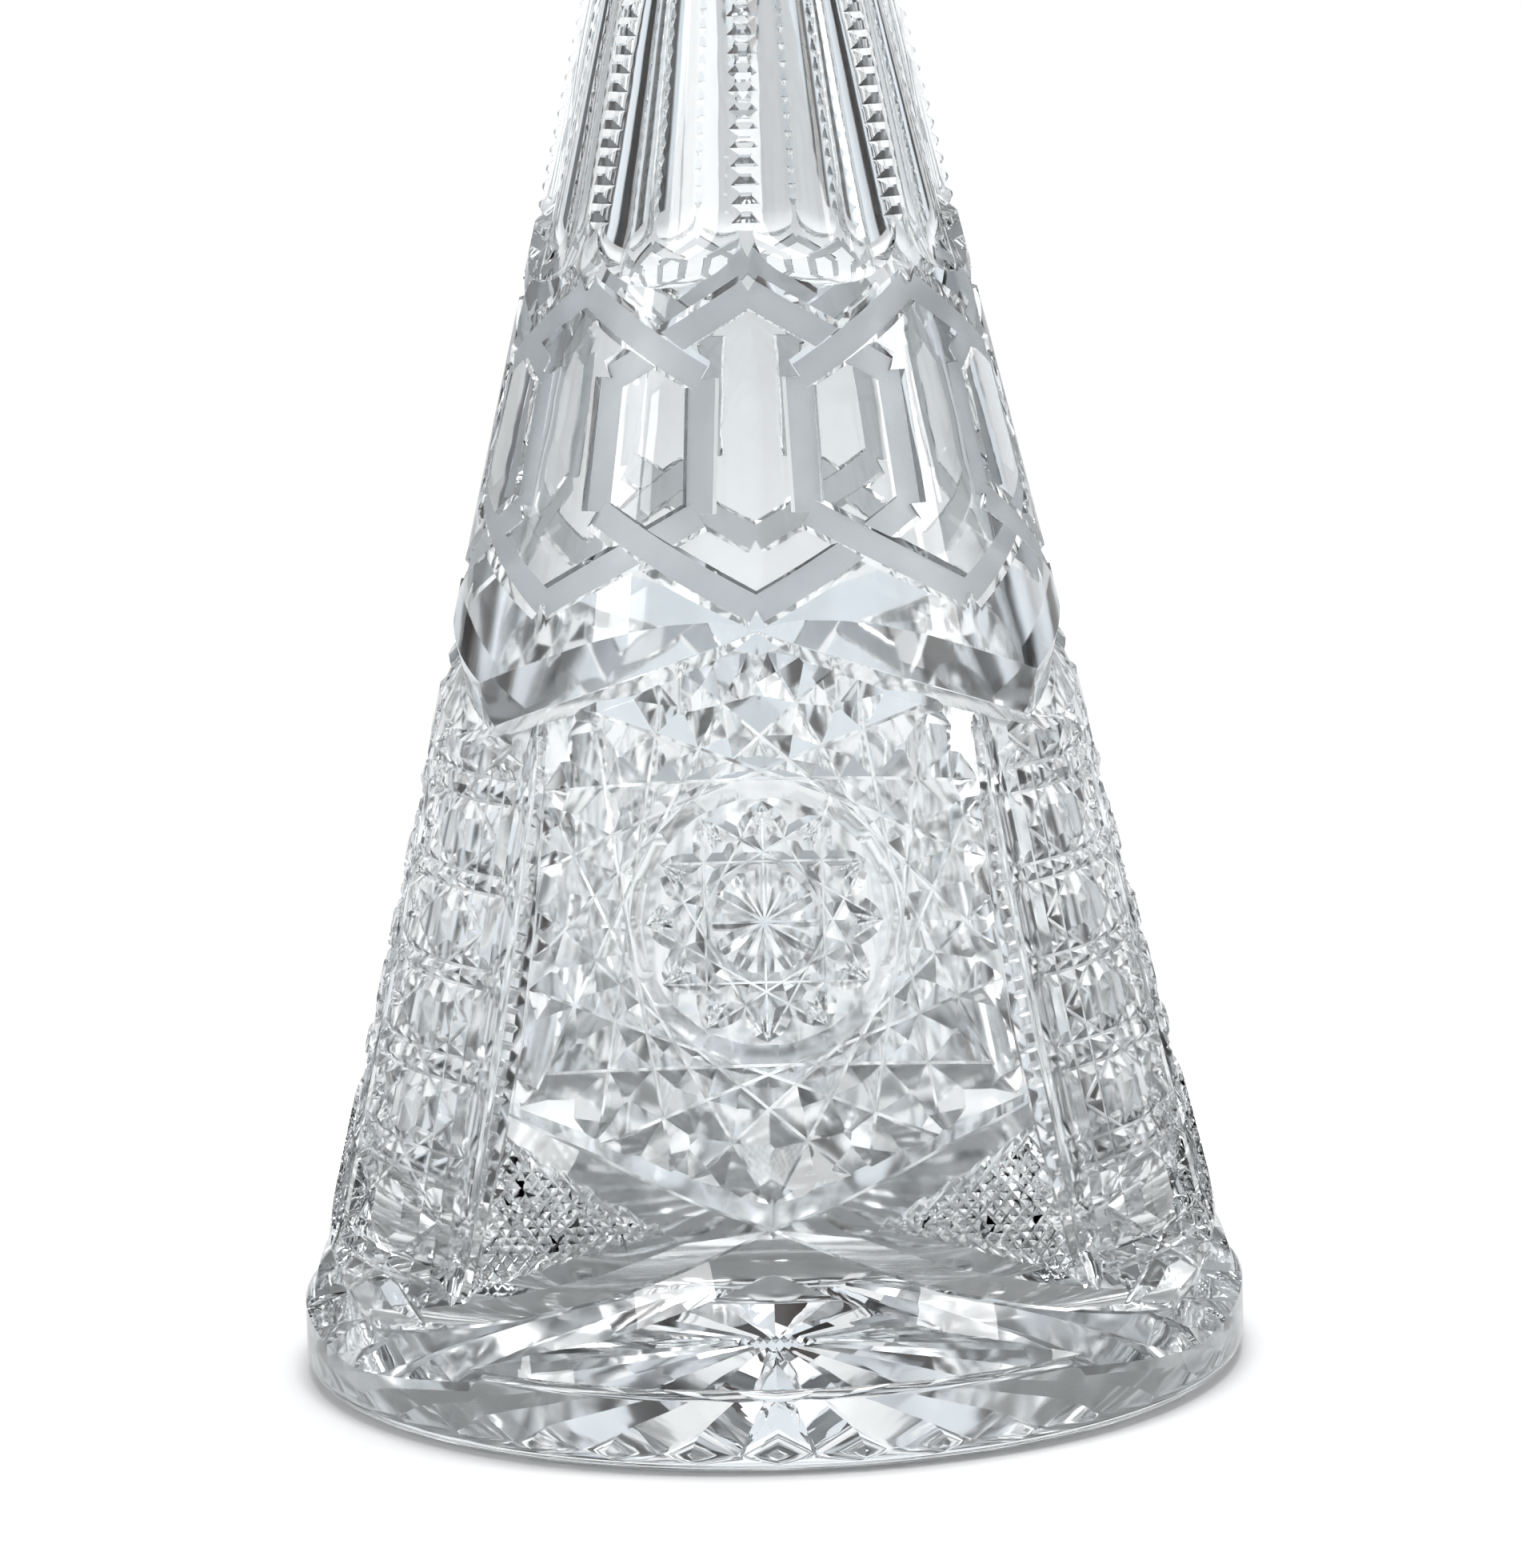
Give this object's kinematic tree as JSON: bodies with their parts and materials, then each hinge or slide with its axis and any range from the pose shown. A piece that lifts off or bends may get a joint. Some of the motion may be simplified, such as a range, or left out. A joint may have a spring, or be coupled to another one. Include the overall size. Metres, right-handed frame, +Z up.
{
  "type": "cut crystal decanter",
  "caption": "Conical cut crystal decanter on a heavy round foot, with hobstar panels, a satin strapwork band, a fluted neck and a lift-out ground stopper.",
  "frame": {"origin": "centre of the foot's resting face", "axes": "+Z up along the decanter's axis; the first hobstar panel faces -Y"},
  "size_m": [0.14, 0.14, 0.3226],
  "materials": {
    "crystal": "polished cut lead crystal, with satin strapwork on the upper shell",
    "stopper_crystal": "polished cut lead crystal with a ground plug"
  },
  "bodies": {
    "decanter": {"decanter_body": "crystal"},
    "stopper": {"stopper": "stopper_crystal"}
  },
  "joints": [
    {"name": "stopper_lift", "type": "slide", "parent": "decanter", "child": "stopper", "axis": [0, 0, 1], "range_m": [0, 0.045]}
  ]
}
